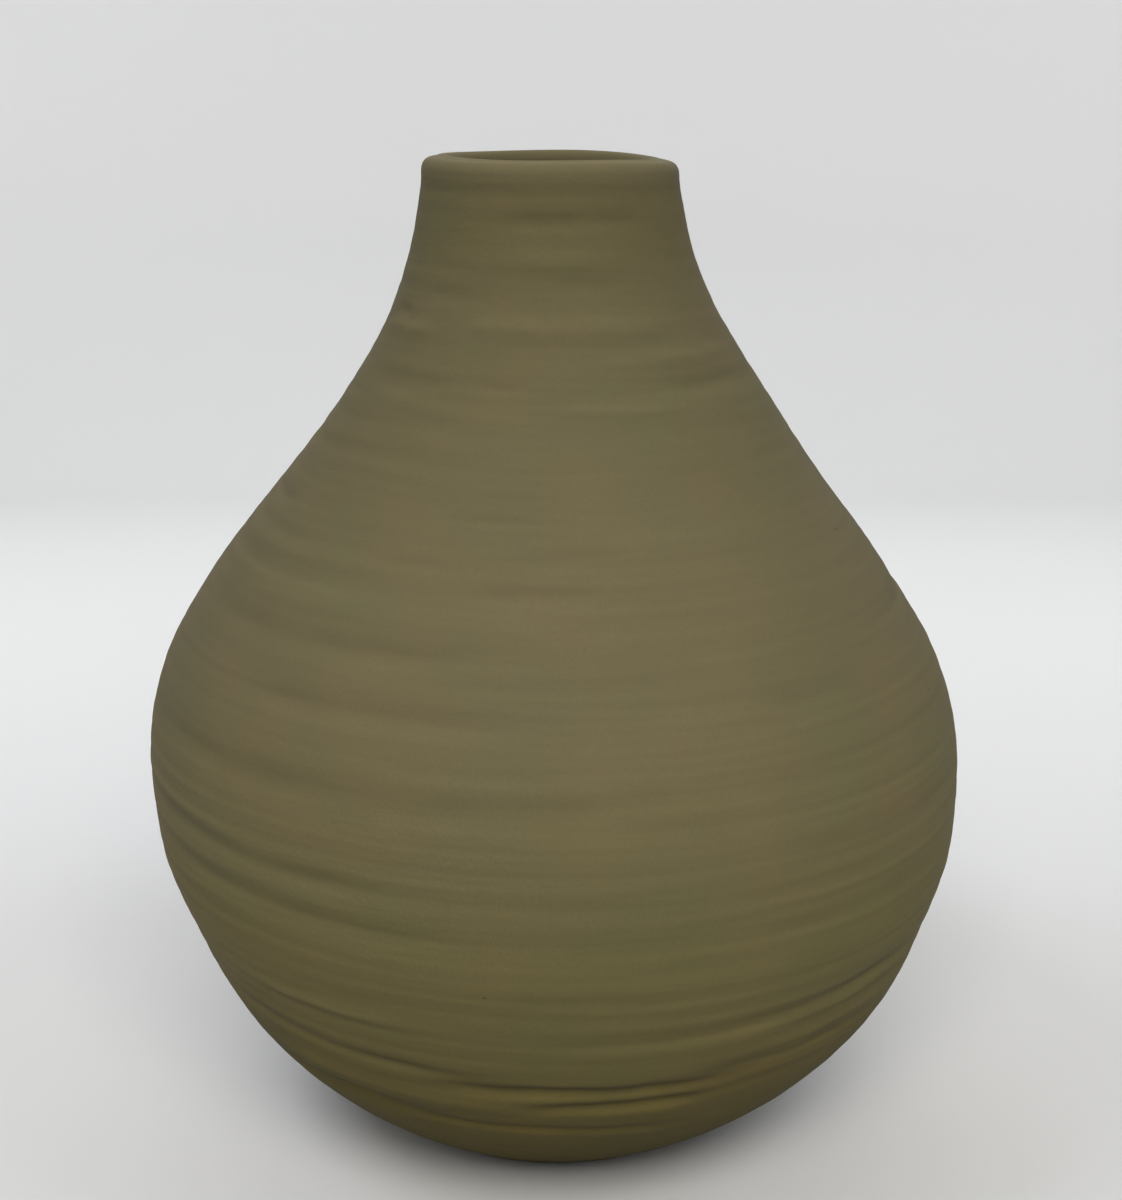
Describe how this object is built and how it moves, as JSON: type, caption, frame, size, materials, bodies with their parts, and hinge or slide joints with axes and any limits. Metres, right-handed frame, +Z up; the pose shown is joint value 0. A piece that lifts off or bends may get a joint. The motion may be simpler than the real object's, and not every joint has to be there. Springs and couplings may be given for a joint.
{
  "type": "bottle vase",
  "caption": "Round-bellied matte stoneware bottle vase with a long sloping shoulder and a short open neck; stands on a foot ring and holds water and stems.",
  "frame": {"origin": "centre of the foot, on the plane that the vase rests on", "axes": "+Z up along the vase's axis, towards the mouth"},
  "size_m": [0.2134, 0.2134, 0.255],
  "materials": {
    "thrown_stoneware": "matte",
    "trimmed_stoneware": "matte"
  },
  "bodies": {
    "root": {"foot_ring": "trimmed_stoneware", "floor_disc": "trimmed_stoneware", "lower_belly": "thrown_stoneware", "middle_belly": "thrown_stoneware", "upper_belly": "thrown_stoneware", "lower_shoulder": "thrown_stoneware", "upper_shoulder": "thrown_stoneware", "neck": "thrown_stoneware", "lip": "thrown_stoneware"}
  },
  "joints": []
}
